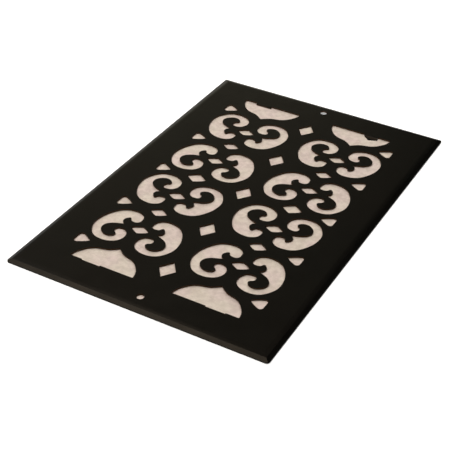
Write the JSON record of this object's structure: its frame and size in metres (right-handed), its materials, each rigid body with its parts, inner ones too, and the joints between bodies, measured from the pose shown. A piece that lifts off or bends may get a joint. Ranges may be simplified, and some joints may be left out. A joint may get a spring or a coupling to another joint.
{
  "type": "return air grille",
  "caption": "Flat rectangular return air grille: a black pressed steel face plate pierced with scrollwork, with a bevelled rim, over a thin cream filter sheet held by folded tabs.",
  "frame": {"origin": "on the surface that the rim stands on, under the middle of the plate", "axes": "+Y along the plate's length toward the far end, +X across it, +Z out of the face into the room"},
  "size_m": [0.1906, 0.2922, 0.0028],
  "materials": {
    "face_plate": "satin",
    "filter_sheet": "matte"
  },
  "bodies": {
    "root": {"face_plate": "face_plate", "filter_sheet": "filter_sheet"}
  },
  "joints": []
}
